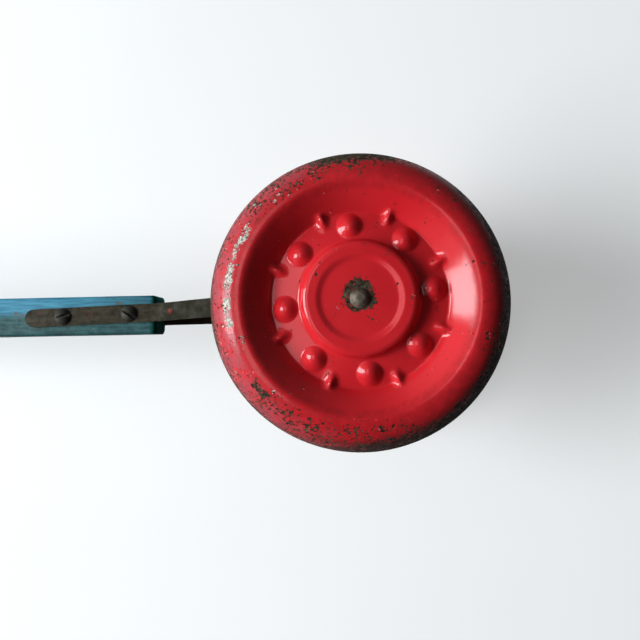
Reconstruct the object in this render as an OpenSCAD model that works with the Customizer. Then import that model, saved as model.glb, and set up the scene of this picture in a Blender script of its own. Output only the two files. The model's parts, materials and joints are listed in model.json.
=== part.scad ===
// Toy cement mixer, a push toy. Two pressed-steel wheels and a mixing drum turn together
// on one axle. A fork of two steel straps carries the axle and is screwed to a wooden handle.
// Millimetres. +X points forward, away from the handle, Y runs along the axle with the right
// wheel at -Y, and +Z is up. The toy stands on z = 0, on its wheels and the end of its handle,
// and the origin is the floor point under the middle of its length.
// The shapes are drawn round the middle of the axle, and on_axle() puts them in place.

/* [Wheels] */
// Outside diameter of a wheel
wheel_d = 140; // [136:1:144]
// Thickness of the pressed sheet in a wheel
wheel_sheet = 1; // [0.8:0.1:1.2]
// Distance from the middle of the toy to the crest of a wheel's face
crest_y = 57.5; // [57:0.1:58.5]
// Radius of the crest
crest_r = 52.5; // [51:0.5:54]
// Distance from the middle of the toy to the seam between a wheel's two pressings
seam_y = 33.5; // [32.5:0.1:35]
// Distance from the middle of the toy to the sunk floor of a wheel's face
floor_y = 49.5; // [49:0.1:50.5]
// Inner radius of the sunk floor
floor_in_r = 26; // [25:0.1:27]
// Outer radius of the sunk floor
floor_out_r = 39.7; // [39:0.1:41]
// Distance from the middle of the toy to the top of the raised ring round the hub
ring_y = 55.8; // [55.5:0.1:56.2]
// Distance from the middle of the toy to the flat disc at the hub
disc_y = 55; // [54.8:0.1:55.2]
// Radius of the flat disc at the hub
disc_r = 17.3; // [17:0.1:19]
// Height of the straight hem where a wheel's two pressings meet
hem = 1; // [0.8:0.1:1.2]
// Distance from the middle of the toy to the back of a wheel
back_y = 29; // [28.8:0.1:29.4]

/* [Bumps and ribs on the wheel face] */
// Number of domed bumps on the sunk floor
bump_count = 8; // [6:1:9]
// Radius of the circle that the bumps stand on
bump_circle_r = 33.4; // [33:0.1:34]
// Radius of a bump at its foot
bump_r = 5.8; // [5:0.1:6]
// Height of a bump above the floor
bump_h = 3.2; // [2.4:0.1:3.6]
// Angle of the first bump above +X
bump_phase = 13.2; // [0:0.1:44.9]
// Angle by which a rib stands before the middle between two bumps
rib_lag = 4.5; // [0:0.5:6]
// Width of a rib between two bumps
rib_w = 2; // [1.5:0.1:2.5]
// Inner radius of a rib
rib_in_r = 34.5; // [34:0.1:36]
// Outer radius of a rib
rib_out_r = 43.5; // [42.5:0.1:44]

/* [Axle] */
// Diameter of the axle
axle_d = 6; // [5.6:0.1:6.2]
// Diameter of the necks that pass through the wheel faces
neck_d = 4.8; // [4.4:0.1:5]
// Diameter of the domed heads
head_d = 9; // [8.6:0.1:10]
// Height of the domed heads
head_h = 2.3; // [2:0.1:2.8]

/* [Fork] */
// Width of a strap
strap_w = 9.6; // [9:0.1:10]
// Thickness of a strap
strap_t = 1.2; // [1:0.1:1.3]
// Distance from the middle of the toy to the middle of a strap at the axle
strap_y = 26; // [25.9:0.1:26.2]
// X where a strap leaves the handle's side
strap_bend_x = -105; // [-108:0.5:-100]
// X where a strap has reached its full spread
strap_spread_x = -63; // [-66:0.5:-62]
// X of a strap's end on the handle
strap_end_x = -178; // [-184:1:-176]
// Height of the strap's middle where it has reached its full spread
strap_rise = -1.5; // [-2:0.1:0]
// How much higher the right strap runs than that, and how much lower the left one
strap_lift = 0.7; // [0:0.1:0.8]
// Slope of a strap along the handle, in degrees
strap_slope = 2.7; // [2:0.1:3.2]

/* [Handle] */
// Length of the handle
stick_l = 400; // [340:1:480]
// Height of the handle's section
stick_h = 20.9; // [20:0.1:22]
// Width of the handle's section
stick_w = 16; // [15.5:0.5:17]
// X of the handle's fork end
stick_x = -107.2; // [-110:0.1:-106.5]
// Height of the handle's middle at its fork end
stick_z = -3.9; // [-4.6:0.1:-3.5]
// Slope of the handle in the fork, in degrees
stick_slope = 1; // [1:0.1:1.5]
// Angle that brings the end of the handle down to the floor
handle_drop = 5.6; // [0:0.1:5.6]

/* [Screws] */
// Diameter of a screw head
screw_head_d = 9.2; // [8:0.1:9.4]
// Height of a screw head
screw_head_h = 2.5; // [2:0.1:2.8]
// Diameter of a screw shank
screw_d = 4.2; // [3.8:0.1:4.4]
// Length of a screw under its head
screw_l = 12.5; // [11:0.5:13]
// Distance from the handle's end to the first screw on the right side
screw_first = 14; // [12:1:15]
// Distance between the two screws on one side
screw_pitch = 36; // [30:1:38]
// How much further back the screws on the left side sit
screw_stagger = 9; // [7:1:10]

/* [Drum] */
// Diameter of the drum at its belt
drum_d = 84; // [80:1:86]
// Half width of the straight belt
belt_half = 6; // [5:0.5:7]
// Radius of the drum's flat ends
drum_end_r = 19; // [18.5:0.1:20]
// Distance from the middle of the toy to the drum's flat ends
drum_end_y = 22.4; // [22:0.1:22.4]
// Thickness of the drum's sheet
drum_sheet = 0.8; // [0.6:0.1:0.9]
// Outside diameter of the mouth collar
mouth_d = 30; // [26:1:31]
// Distance from the axle to the lip of the mouth
mouth_reach = 57; // [54:0.5:58]
// Angle of the mouth above +X
mouth_angle = 90; // [40:1:140]
// Number of mixing paddles
paddle_count = 3; // [3:1:3]
// Thickness of a paddle
paddle_t = 1; // [0.8:0.1:1.2]

/* [Hidden] */
$fn = 96;

// Gap between pieces that rest against each other
gap = 0.1;
// Radial play of everything on the axle
play = 0.05;
wheel_r = wheel_d / 2;
axle_r = axle_d / 2;
bore_r = axle_r + play;
// Radius of the flat at the hub of a wheel's back
back_hub_r = 13;
// Depth of the pan pressed into a wheel's back
pan_depth = 1.5;
// Radii of the pan's walls
pan_in_r = 16;
pan_out_r = 50;
// Width of the rounding at the edge of a wheel's back
back_edge_r = 7;
// Radius of a wheel's sleeve
sleeve_r = 5.5;
// Radius of the washers
washer_r = 7;
strap_in_y = strap_y - strap_t / 2;
strap_out_y = strap_y + strap_t / 2;
// Middle of a strap on the handle's side
strap_side_y = stick_w / 2 + gap + strap_t / 2;
screw_seat_y = strap_side_y + strap_t / 2 + gap / 2;
bend_r = 5;
// Rounding of the handle's long edges and of its fork end
stick_ease = 1.6;
// Rounding of the handle's far end, seen from the side and from above
far_round_side = 8.36;
far_round_top = 5.6;
drum_r = drum_d / 2;
mouth_r = mouth_d / 2;
// Radius of the drum hubs' barrels and of their flanges
hub_r = 6;
hub_flange_r = 14.5;
hub_flange_t = 1;
hub_end_y = 24;
hub_inner_y = 12.2;
flange_y = drum_end_y + gap / 2;
// Circle, count and size of the rivets that hold a hub
rivet_circle_r = 11;
rivet_count = 4;
rivet_r = 1.2;
rivet_head_r = 2.2;
rivet_head_h = 0.9;
// Distance of the drive pin from the middle of the toy
pin_y = 16;
pin_r = 1;

// ---------- outlines ----------

function unit(v) = v / norm(v);

// Unit vector square to the segment from a to b, on its left
function side_of(a, b) = let (d = unit(b - a)) [-d[1], d[0]];

// Point i of a line, moved by t to the left of the line
function shifted(line, i, t) =
    let (
        last = len(line) - 1,
        before = max(i - 1, 0),
        after = min(i, last - 1),
        a = side_of(line[before], line[before + 1]),
        b = side_of(line[after], line[after + 1]),
        m = unit(a + b)
    )
    line[i] + m * t / (m * b);

// Closed outline of a sheet of thickness t that lies to the left of a line
function sheet(line, t) =
    concat(line, [for (i = [len(line) - 1:-1:0]) shifted(line, i, t)]);

// Points on an ellipse's arc from angle a to angle b
function arc(centre, rx, ry, a, b, steps) =
    [for (i = [0:steps]) let (w = a + (b - a) * i / steps) centre + [rx * cos(w), ry * sin(w)]];

// Direction of the segment that starts at point i of a line, in degrees
function heading(line, i) = let (d = line[i + 1] - line[i]) atan2(d[1], d[0]);

// Closed outline of a ribbon of width w round a line, with half-round ends
function ribbon(line, w) =
    let (
        last = len(line) - 1,
        r = w / 2,
        first_way = heading(line, 0),
        last_way = heading(line, last - 1)
    )
    concat(
        [for (i = [1:last - 1]) shifted(line, i, r)],
        arc(line[last], r, r, last_way + 90, last_way - 90, 24),
        [for (i = [last - 1:-1:1]) shifted(line, i, -r)],
        arc(line[0], r, r, first_way - 90, first_way - 270, 24)
    );

// Corner p of a bent line, rounded with radius r between directions u (in) and v (out)
function bend(p, u, v, r, steps) =
    let (
        turn = atan2(u[0] * v[1] - u[1] * v[0], u * v),
        side = sign(turn),
        run = r * tan(abs(turn) / 2),
        start = p - u * run,
        centre = start + side * r * [-u[1], u[0]],
        first = atan2(start[1] - centre[1], start[0] - centre[0])
    )
    arc(centre, r, r, first, first + turn, steps);

// Outer surface of a wheel's face as [radius, distance from the toy's middle], rim to hub
function face_line() =
    let (
        dish_w = crest_r - floor_out_r,
        dish_h = crest_y - floor_y
    )
    concat(
        [[wheel_r, seam_y]],
        arc([crest_r, seam_y + hem], wheel_r - crest_r, crest_y - seam_y - hem, 0, 90, 14),
        [for (i = [7:-1:0]) [floor_out_r + dish_w * i / 8, floor_y + dish_h * sin(90 * i / 8)]],
        [
            [floor_in_r, floor_y],
            [floor_in_r - 2, ring_y - 1.8],
            [floor_in_r - 3.5, ring_y],
            [disc_r + 1, ring_y],
            [disc_r - 0.2, disc_y],
            [neck_d / 2 + play, disc_y]
        ]
    );

// Outer surface of a wheel's back, hub to rim
function back_line() =
    concat(
        [
            [bore_r, back_y],
            [back_hub_r, back_y],
            [pan_in_r, back_y + pan_depth],
            [pan_out_r - 3, back_y + pan_depth],
            [pan_out_r, back_y]
        ],
        arc([wheel_r - back_edge_r, seam_y - hem], back_edge_r, seam_y - hem - back_y, -90, 0, 8),
        [[wheel_r, seam_y - gap]]
    );

// Outer surface of half the drum, belt to end
function drum_line() =
    [
        [drum_r, gap / 2],
        [drum_r, belt_half],
        [drum_r - 1.6, belt_half + 1.8],
        [drum_end_r + 1.4, drum_end_y - 1.2],
        [drum_end_r, drum_end_y],
        [hub_r + gap, drum_end_y]
    ];

// Rectangle from x = -l to 0 and h high, rounded by r0 at x = 0 and by r1 at x = -l
function bar_outline(l, h, r0, r1) =
    concat(
        arc([-r0, h / 2 - r0], r0, r0, 0, 90, 6),
        arc([r1 - l, h / 2 - r1], r1, r1, 90, 180, 10),
        arc([r1 - l, r1 - h / 2], r1, r1, 180, 270, 10),
        arc([-r0, r0 - h / 2], r0, r0, 270, 360, 6)
    );

// Outline of the handle from the side, its fork end at x = 0
function stick_side() = bar_outline(stick_l, stick_h, stick_ease, far_round_side);

// Point [x, z] turned down about the axle by an angle, on the handle's side
function hung(p, angle) = [p[0] * cos(angle) - p[1] * sin(angle), p[0] * sin(angle) + p[1] * cos(angle)];

// How far behind the axle the handle reaches
handle_reach = -min([
    for (p = stick_side()) hung([stick_x, stick_z] + hung(p, stick_slope), handle_drop)[0]
]);

// Middle of the axle
axle_x = (handle_reach - wheel_r) / 2;
axle_z = wheel_r;

// ---------- helpers ----------

// Takes a shape drawn round the middle of the axle to its place in the toy
module on_axle() translate([axle_x, 0, axle_z]) children();

// Turns a shape built along +Z so that +Z becomes -Y, the right side's outward direction
module outward() rotate([90, 0, 0]) children();

module left() mirror([0, 1, 0]) children();

// Sets the fork and the handle down until the handle's end rests on the floor
module fork() rotate([0, -handle_drop, 0]) children();

// Turns a shape built along +Z towards the drum's mouth
module at_mouth() rotate([0, 90 - mouth_angle, 0]) children();

// A ball's cap of foot radius r and height h, standing on z = 0
module cap(r, h) {
    ball = (r * r + h * h) / (2 * h);
    intersection() {
        translate([0, 0, h - ball]) sphere(ball);
        cylinder(r = r + 1, h = h + 1);
    }
}

// A tube along Z
module tube(r_out, r_in, z0, z1) {
    translate([0, 0, z0]) difference() {
        cylinder(r = r_out, h = z1 - z0);
        translate([0, 0, -1]) cylinder(r = r_in, h = z1 - z0 + 2);
    }
}

// ---------- wheels ----------

module bump_places() {
    for (i = [0:bump_count - 1])
        rotate([0, 0, bump_phase + i * 360 / bump_count])
            translate([bump_circle_r, 0, floor_y])
                children();
}

// A wedge that bridges the corner between the sunk floor and the dished wall
module rib() {
    dish = crest_r - floor_out_r;
    wall_y = floor_y + (crest_y - floor_y) * sin(90 * (rib_out_r - floor_out_r) / dish);
    rotate([90, 0, 0])
        linear_extrude(rib_w, center = true)
            polygon([
                [rib_in_r, floor_y - wheel_sheet / 2],
                [rib_out_r + 0.4, floor_y - wheel_sheet / 2 + 2.2],
                [rib_out_r, wall_y],
                [floor_out_r - 2, floor_y + 1.5],
                [rib_in_r + 1, floor_y + 0.9]
            ]);
}

module wheel_face() {
    ball = (bump_r * bump_r + bump_h * bump_h) / (2 * bump_h);
    difference() {
        union() {
            rotate_extrude() polygon(sheet(face_line(), wheel_sheet));
            bump_places() translate([0, 0, -wheel_sheet / 2]) cap(bump_r + 0.2, bump_h + wheel_sheet / 2);
            for (i = [0:bump_count - 1])
                rotate([0, 0, bump_phase + (i + 0.5) * 360 / bump_count - rib_lag]) rib();
        }
        bump_places() translate([0, 0, bump_h - ball]) sphere(ball - wheel_sheet);
    }
}

module wheel_back() {
    rotate_extrude() polygon(sheet(back_line(), wheel_sheet));
}

module wheel_sleeve() {
    tube(sleeve_r, bore_r, back_y + wheel_sheet + gap, disc_y - wheel_sheet - gap);
}

module wheel_washer() {
    tube(washer_r, bore_r, strap_out_y + gap, back_y - gap);
}

module right_wheel_face() { color("firebrick") on_axle() outward() wheel_face(); }
module right_wheel_back() { color("firebrick") on_axle() outward() wheel_back(); }
module right_wheel_sleeve() { color("dimgray") on_axle() outward() wheel_sleeve(); }
module right_wheel_washer() { color("dimgray") on_axle() outward() wheel_washer(); }
module left_wheel_face() { color("firebrick") on_axle() left() outward() wheel_face(); }
module left_wheel_back() { color("firebrick") on_axle() left() outward() wheel_back(); }
module left_wheel_sleeve() { color("dimgray") on_axle() left() outward() wheel_sleeve(); }
module left_wheel_washer() { color("dimgray") on_axle() left() outward() wheel_washer(); }

// ---------- axle ----------

// From the middle of the toy outwards: the rod, a neck through the wheel's face and a domed head
module half_axle() {
    shoulder_y = disc_y - wheel_sheet - gap / 2;
    cylinder(r = axle_r, h = shoulder_y);
    cylinder(d = neck_d, h = disc_y + gap);
    translate([0, 0, disc_y + gap / 2]) cap(head_d / 2, head_h);
}

module axle() {
    color("dimgray") on_axle() difference() {
        union() {
            outward() half_axle();
            left() outward() half_axle();
        }
        at_pin() cylinder(r = pin_r + play, h = 4 * hub_r, center = true);
    }
}

// ---------- fork ----------

// Middle line of a strap seen from above, as [x, distance from the toy's middle]
function strap_path() =
    let (
        spread = unit([strap_spread_x - strap_bend_x, strap_y - strap_side_y]),
        ahead = [1, 0]
    )
    concat(
        [[strap_end_x - strap_w, strap_side_y]],
        bend([strap_bend_x, strap_side_y], ahead, spread, bend_r, 5),
        bend([strap_spread_x, strap_y], spread, ahead, bend_r, 5),
        [[strap_w, strap_y]]
    );

// Height of a strap's middle line at x, behind the spread; lift raises the whole of it
function strap_z(x, lift) = strap_rise + lift + (x - strap_spread_x) * tan(strap_slope);

// Outline of a strap seen from the side, with a round end and a round eye for the axle
function strap_side(lift) =
    let (rear_x = strap_end_x + strap_w / 2)
    ribbon([[rear_x, strap_z(rear_x, lift)], [strap_spread_x, strap_rise + lift], [0, 0]], strap_w);

// X of each screw: k = 0 or 1, back = how much further back this side's screws sit
function screw_x(k, back) = stick_x - screw_first - k * screw_pitch - back;

module strap(back, lift) {
    difference() {
        intersection() {
            translate([0, 0, -strap_w * 2]) linear_extrude(strap_w * 4)
                mirror([0, 1]) polygon(sheet([for (p = strap_path()) p - [0, strap_t / 2]], strap_t));
            rotate([90, 0, 0]) linear_extrude(strap_y * 2) polygon(strap_side(lift));
        }
        rotate([90, 0, 0]) cylinder(r = bore_r + play, h = strap_y * 2);
        for (k = [0, 1]) translate([screw_x(k, back), 0, strap_z(screw_x(k, back), lift)])
            rotate([90, 0, 0]) cylinder(d = screw_d + 0.4, h = strap_y);
    }
}

module right_strap() { color("dimgray") on_axle() fork() strap(0, strap_lift); }
module left_strap() { color("dimgray") on_axle() fork() left() strap(screw_stagger, -strap_lift); }

// A slotted round-head screw standing out of the origin along +Z
module screw(slot_turn) {
    slot_w = 1.7;
    slot_depth = 1.8;
    difference() {
        cap(screw_head_d / 2, screw_head_h);
        rotate([0, 0, slot_turn]) translate([-screw_head_d, -slot_w / 2, screw_head_h - slot_depth])
            cube([screw_head_d * 2, slot_w, screw_head_h]);
    }
    tip = 3;
    translate([0, 0, tip - screw_l]) cylinder(d = screw_d, h = screw_l - tip + 0.2);
    translate([0, 0, -screw_l]) cylinder(d1 = 0.6, d2 = screw_d, h = tip);
}

module strap_screws(back, lift, turns) {
    for (k = [0, 1])
        translate([screw_x(k, back), -screw_seat_y, strap_z(screw_x(k, back), lift)])
            rotate([90, 0, 0]) screw(turns[k]);
}

module right_strap_screws() {
    color("dimgray") on_axle() fork() strap_screws(0, strap_lift, [-35, 20]);
}
module left_strap_screws() {
    color("dimgray") on_axle() fork() left() strap_screws(screw_stagger, -strap_lift, [10, 75]);
}

// Pilot holes for one side's screws
module pilots(back, lift) {
    for (k = [0, 1])
        translate([screw_x(k, back), -stick_w, strap_z(screw_x(k, back), lift)])
            rotate([-90, 0, 0]) cylinder(d = screw_d + 2 * play, h = stick_w / 2 + screw_l - strap_t);
}

module handle_stick() {
    color("steelblue") on_axle() fork() difference() {
        translate([stick_x, 0, stick_z]) rotate([0, -stick_slope, 0]) intersection() {
            rotate([90, 0, 0]) linear_extrude(stick_w * 2, center = true)
                polygon(stick_side());
            linear_extrude(stick_h * 2, center = true)
                polygon(bar_outline(stick_l, stick_w, stick_ease, far_round_top));
            rotate([0, -90, 0]) linear_extrude(stick_l + 1)
                translate([stick_h / 2, 0]) polygon(bar_outline(stick_h, stick_w, stick_ease, stick_ease));
        }
        pilots(0, strap_lift);
        left() pilots(screw_stagger, -strap_lift);
    }
}

// ---------- drum ----------

module at_pin() translate([0, -pin_y, 0]) rotate([0, 90 - mouth_angle, 0]) children();

module drum_half() {
    rotate_extrude() polygon(sheet([for (i = [0:5]) drum_line()[5 - i]], -drum_sheet));
}

// The hole in the drum's wall that the mouth collar stands in
module mouth_hole() {
    at_mouth() translate([0, 0, drum_end_r]) cylinder(r = mouth_r + gap, h = drum_r);
}

module rivet_places() {
    for (i = [0:rivet_count - 1])
        rotate([0, 0, 45 + i * 360 / rivet_count]) translate([rivet_circle_r, 0, 0]) children();
}

module drum_shell() {
    difference() {
        drum_half();
        rivet_places() cylinder(r = rivet_r + play, h = drum_r);
    }
}

module drum_hub() {
    difference() {
        union() {
            tube(hub_r, bore_r, hub_inner_y, hub_end_y);
            tube(hub_flange_r, bore_r, flange_y, flange_y + hub_flange_t);
        }
        rivet_places() cylinder(r = rivet_r + play, h = drum_r);
    }
}

module drum_rivets() {
    inner_y = drum_end_y - drum_sheet - gap / 2;
    outer_y = flange_y + hub_flange_t + gap / 2;
    rivet_places() {
        translate([0, 0, inner_y - 0.1]) cylinder(r = rivet_r, h = outer_y - inner_y + 0.2);
        translate([0, 0, outer_y]) cap(rivet_head_r, rivet_head_h);
        translate([0, 0, inner_y]) mirror([0, 0, 1]) cap(rivet_head_r, rivet_head_h);
    }
}

module drum_right_shell() { color("steelblue") on_axle() difference() { outward() drum_shell(); mouth_hole(); } }
module drum_left_shell() { color("steelblue") on_axle() difference() { left() outward() drum_shell(); mouth_hole(); } }

module drum_mouth_collar() {
    lip_r = 1.2;
    color("steelblue") on_axle() difference() {
        at_mouth() {
            tube(mouth_r, mouth_r - drum_sheet, drum_end_r, mouth_reach);
            translate([0, 0, mouth_reach - lip_r])
                rotate_extrude() translate([mouth_r - drum_sheet / 2, 0]) circle(lip_r);
        }
        // The drum's body, a little smaller, trims the collar to a saddle
        rotate([90, 0, 0]) rotate_extrude() polygon([
            [0, -drum_end_y],
            [drum_end_r - 2, -drum_end_y],
            [drum_r - 2, -belt_half],
            [drum_r - 2, belt_half],
            [drum_end_r - 2, drum_end_y],
            [0, drum_end_y]
        ]);
    }
}

module drum_paddles() {
    half = hub_inner_y - 2 * gap;
    reach = drum_r - 5;
    color("slategray") on_axle() rotate([90, 0, 0]) difference() {
        union() {
            cylinder(r = hub_r - 1, h = 2 * half, center = true);
            for (i = [0:paddle_count - 1])
                rotate([0, 0, mouth_angle + (i + 0.5) * 360 / paddle_count])
                    rotate([90, 0, 0]) linear_extrude(paddle_t, center = true) polygon([
                        [axle_r + 1, -half],
                        [reach - 10, -half],
                        [reach, -belt_half],
                        [reach, belt_half],
                        [reach - 10, half],
                        [axle_r + 1, half]
                    ]);
        }
        cylinder(r = bore_r, h = 3 * half, center = true);
    }
}

module drum_right_hub() {
    color("dimgray") on_axle() difference() {
        outward() drum_hub();
        at_pin() cylinder(r = pin_r + play, h = 4 * hub_r, center = true);
    }
}

module drum_left_hub() { color("dimgray") on_axle() left() outward() drum_hub(); }
module drum_right_rivets() { color("silver") on_axle() outward() drum_rivets(); }
module drum_left_rivets() { color("silver") on_axle() left() outward() drum_rivets(); }
module drum_drive_pin() { color("silver") on_axle() at_pin() cylinder(r = pin_r, h = 2 * hub_r + 2, center = true); }
module drum_washer() tube(washer_r, bore_r, hub_end_y + gap, strap_in_y - gap);
module right_drum_washer() { color("dimgray") on_axle() outward() drum_washer(); }
module left_drum_washer() { color("dimgray") on_axle() left() outward() drum_washer(); }

handle_stick();
right_strap();
left_strap();
right_strap_screws();
left_strap_screws();
axle();
right_wheel_face();
right_wheel_back();
right_wheel_sleeve();
right_wheel_washer();
left_wheel_face();
left_wheel_back();
left_wheel_sleeve();
left_wheel_washer();
drum_right_shell();
drum_left_shell();
drum_mouth_collar();
drum_paddles();
drum_right_hub();
drum_left_hub();
drum_right_rivets();
drum_left_rivets();
drum_drive_pin();
right_drum_washer();
left_drum_washer();
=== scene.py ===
"""Looks of the toy cement mixer: chipped enamel wheels, an aged steel fork and a worn blue handle.

Metres, unless a name or comment says millimetres. The toy stands on its wheels and on the end
of its handle, +X forward and +Z up. Every piece is drawn round the middle of the axle. The fork
and the handle hang down behind it, so their own level frame is turned by HANG.
"""

import json
import math

import bmesh
import bpy
import numpy as np
from mathutils import Matrix, Vector, noise


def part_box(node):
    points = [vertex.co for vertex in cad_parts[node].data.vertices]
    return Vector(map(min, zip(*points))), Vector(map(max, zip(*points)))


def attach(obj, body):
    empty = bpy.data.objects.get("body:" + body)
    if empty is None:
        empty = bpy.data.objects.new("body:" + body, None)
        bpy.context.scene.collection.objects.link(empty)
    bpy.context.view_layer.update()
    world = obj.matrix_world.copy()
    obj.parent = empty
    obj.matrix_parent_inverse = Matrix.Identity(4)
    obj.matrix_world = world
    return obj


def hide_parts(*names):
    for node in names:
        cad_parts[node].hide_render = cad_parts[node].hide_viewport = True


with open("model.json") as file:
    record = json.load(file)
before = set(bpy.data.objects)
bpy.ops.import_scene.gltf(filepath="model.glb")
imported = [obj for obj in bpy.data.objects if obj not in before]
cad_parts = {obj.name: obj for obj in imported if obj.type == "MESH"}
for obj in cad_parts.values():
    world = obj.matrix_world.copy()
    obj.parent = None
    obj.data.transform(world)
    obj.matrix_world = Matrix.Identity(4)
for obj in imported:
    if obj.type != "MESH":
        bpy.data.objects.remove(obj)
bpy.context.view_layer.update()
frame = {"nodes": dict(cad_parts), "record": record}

MM = 0.001
ROLLING = "rolling_set"
FORK = "fork_and_handle"
RIGHT, LEFT = -1, 1
SIDE_NAMES = {RIGHT: "right", LEFT: "left"}

AXLE = Vector(frame["record"]["behaviour"]["joints"][0]["pos_m"])

# The fork's own level frame: the handle's drop to the floor is a turn about the axle
HANG = math.radians(5.6)
LEVEL = Matrix.Translation(AXLE) @ Matrix.Rotation(-HANG, 4, "Y")
UPRIGHT = Matrix.Translation(AXLE)

# Wheel, in millimetres. A name that ends in _Y is a distance from the toy's middle
face_lo, face_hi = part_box("right_wheel_face")
WHEEL_R = (face_hi[0] - AXLE.x) / MM
CREST_Y = -face_lo[1] / MM
SEAM_Y = -face_hi[1] / MM
CREST_R = 52.5
FLOOR_Y, FLOOR_FALL = 49.5, 2.6
FLOOR_IN_R, FLOOR_OUT_R = 26.2, 39.7
DISH_SLOPE = 0.9
RING_Y, DISC_Y, DISC_R = 55.9, 55.0, 17.3
BACK_Y = 29.0
SHEET = 1.0
HUB_HOLE_R = 2.5
BUMPS = 8
BUMP_CIRCLE_R, BUMP_R, BUMP_H = 33.4, 6.1, 3.0
BUMP_PHASE = 13.2
RIB_IN_R, RIB_RISE, RIB_H, RIB_HALF_W = 32.8, 7.0, 2.9, 2.0
RIB_LAG = 4.5
FACE_COLS = 512

# Axle, in millimetres
AXLE_R, HEAD_R, HEAD_H = 3.0, 4.5, 2.3

# Fork and handle in their level frame, in millimetres
STRAP_W, STRAP_T = 9.6, 1.2
STRAP_END_X, STRAP_BEND_X, STRAP_SPREAD_X = -178.0, -105.0, -63.0
STRAP_SIDE_Y, STRAP_WIDE_Y = 8.7, 26.0
STRAP_RISE, STRAP_LIFT, STRAP_SLOPE = -1.5, 0.7, math.radians(2.7)
STICK_X, STICK_Z, STICK_SLOPE = -107.2, -3.9, math.radians(1.0)
STICK_L, STICK_H, STICK_W = 400.0, 20.9, 16.0
SCREW_R, SCREW_H = 4.6, 2.5
SCREW_FIRST, SCREW_PITCH, SCREW_STAGGER = 14.0, 36.0, 9.0

# Drum, in millimetres
DRUM_R, BELT_HALF, DRUM_END_R, DRUM_END_Y, DRUM_SHEET = 42.0, 6.0, 19.0, 22.4, 0.8
DRUM_HUB_R = 6.1
MOUTH_R, MOUTH_REACH = 15.0, 57.0


# ---------- mesh helpers ----------


def new_object(name, mesh):
    obj = bpy.data.objects.new(name, mesh)
    bpy.context.scene.collection.objects.link(obj)
    return obj


def grid_object(name, points, close_rows=False, flip=False, smooth=True):
    """A surface from points[row, column, xyz]. Columns always close on themselves."""
    rows, cols = points.shape[:2]
    last = rows if close_rows else rows - 1
    r, c = np.meshgrid(np.arange(last), np.arange(cols), indexing="ij")
    r2, c2 = (r + 1) % rows, (c + 1) % cols
    quads = np.stack([r * cols + c, r * cols + c2, r2 * cols + c2, r2 * cols + c], -1)
    if flip:
        quads = quads[..., ::-1]
    quads = quads.reshape(-1, 4)
    mesh = bpy.data.meshes.new(name)
    mesh.vertices.add(rows * cols)
    mesh.vertices.foreach_set("co", points.reshape(-1).astype(np.float32))
    mesh.loops.add(quads.size)
    mesh.loops.foreach_set("vertex_index", quads.reshape(-1).astype(np.int32))
    mesh.polygons.add(len(quads))
    mesh.polygons.foreach_set("loop_start", np.arange(0, quads.size, 4, dtype=np.int32))
    mesh.update(calc_edges=True)
    mesh.validate()
    mesh.polygons.foreach_set("use_smooth", np.full(len(mesh.polygons), smooth))
    return new_object(name, mesh)


def coordinates(obj):
    """A mesh's points in millimetres, one row each."""
    co = np.empty(len(obj.data.vertices) * 3, np.float32)
    obj.data.vertices.foreach_get("co", co)
    return co.reshape(-1, 3).astype(float) / MM


def set_attribute(obj, name, values):
    layer = obj.data.attributes.new(name, "FLOAT", "POINT")
    layer.data.foreach_set("value", values.reshape(-1).astype(np.float32))


def weld(obj, distance):
    """Merges points that coincide, such as the ones at a pole."""
    bm = bmesh.new()
    bm.from_mesh(obj.data)
    bmesh.ops.remove_doubles(bm, verts=bm.verts, dist=distance)
    bmesh.ops.recalc_face_normals(bm, faces=bm.faces)
    bm.to_mesh(obj.data)
    bm.free()


def apply_modifiers(obj):
    graph = bpy.context.evaluated_depsgraph_get()
    mesh = bpy.data.meshes.new_from_object(obj.evaluated_get(graph))
    obj.modifiers.clear()
    obj.data = mesh


def cut(obj, cutter):
    """Takes cutter away from obj for good, and deletes cutter."""
    mod = obj.modifiers.new("cut", "BOOLEAN")
    mod.operation = "DIFFERENCE"
    mod.solver = "EXACT"
    mod.object = cutter
    apply_modifiers(obj)
    bpy.data.objects.remove(cutter)


def settle(obj, place, material, body, node):
    """Puts a finished piece where it belongs, in its material, in place of a CAD node."""
    obj.data.materials.clear()
    obj.data.materials.append(material)
    obj.matrix_world = place
    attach(obj, body)
    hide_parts(node)


def smooth_by_angle(obj, degrees):
    """Smooth shading, except across edges sharper than the given angle."""
    for p in obj.data.polygons:
        p.use_smooth = True
    obj.data.set_sharp_from_angle(angle=math.radians(degrees))


def ease_edges(obj, width, degrees):
    """Rounds the edges that are sharper than the given angle."""
    mod = obj.modifiers.new("ease", "BEVEL")
    mod.width = width
    mod.segments = 2
    mod.limit_method = "ANGLE"
    mod.angle_limit = math.radians(degrees)
    mod.harden_normals = False


def resampled(line, spacing):
    """Points along a line at about the given spacing; spacing may be a function of the point."""
    line = np.asarray(line, float)
    step = np.linalg.norm(np.diff(line, axis=0), axis=1)
    way = np.concatenate([[0], np.cumsum(step)])
    fine = np.linspace(0, way[-1], max(int(way[-1] / 0.02), 8))
    dense = np.stack([np.interp(fine, way, line[:, k]) for k in (0, 1)], 1)
    want = np.array([spacing(p) if callable(spacing) else spacing for p in dense])
    count = np.concatenate([[0], np.cumsum(np.diff(fine) / want[1:])])
    n = max(int(round(count[-1])), 2)
    at = np.interp(np.linspace(0, count[-1], n + 1), count, fine)
    return np.stack([np.interp(at, way, line[:, k]) for k in (0, 1)], 1)


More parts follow.
